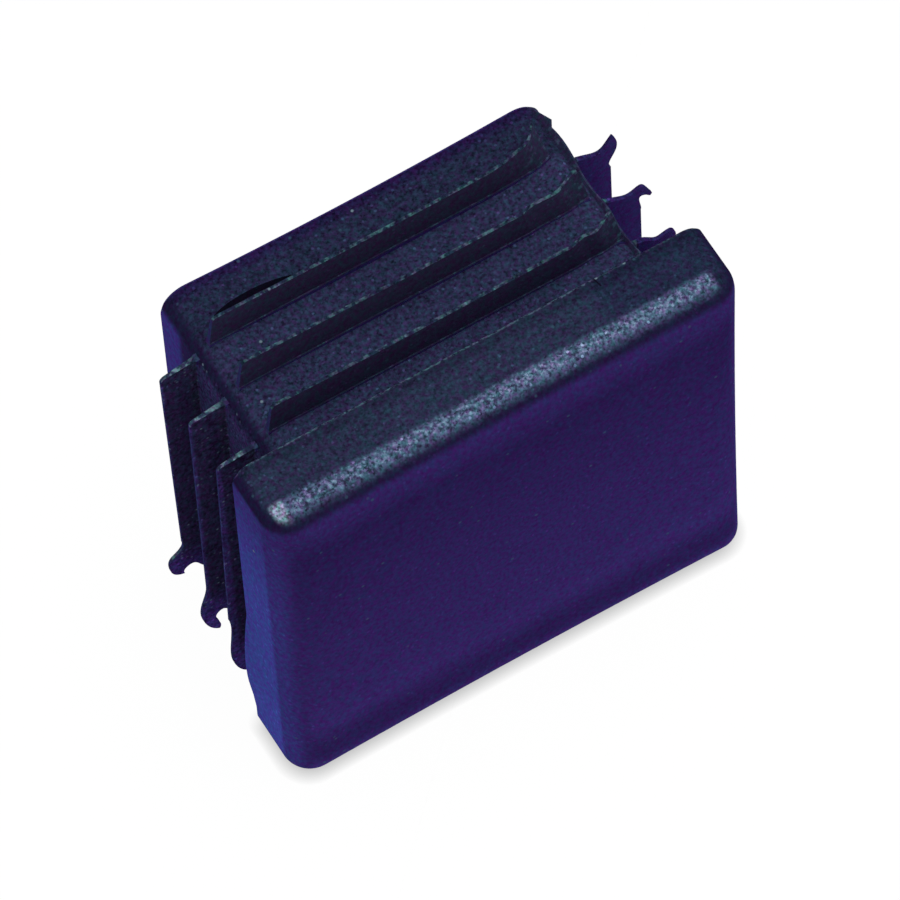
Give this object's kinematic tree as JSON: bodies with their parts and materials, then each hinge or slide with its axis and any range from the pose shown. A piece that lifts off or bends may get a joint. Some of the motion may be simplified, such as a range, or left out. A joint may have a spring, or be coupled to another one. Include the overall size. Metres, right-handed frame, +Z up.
{
  "type": "tube end cap",
  "caption": "Square push-in end cap: a thick rounded head on a hollow spigot, with thin gripping fins round all four sides.",
  "frame": {"origin": "centre of the seat, the plane of the head that meets the end of the tube", "axes": "+Y along the tube's axis, from the head into the tube; +Z up, out of the side that lies uppermost; +X to the right, seen from the outer face"},
  "size_m": [0.0409, 0.0241, 0.04],
  "materials": {
    "plastic": "fine moulded grain, dark blue-violet black"
  },
  "bodies": {
    "root": {"end_cap": "plastic"}
  },
  "joints": []
}
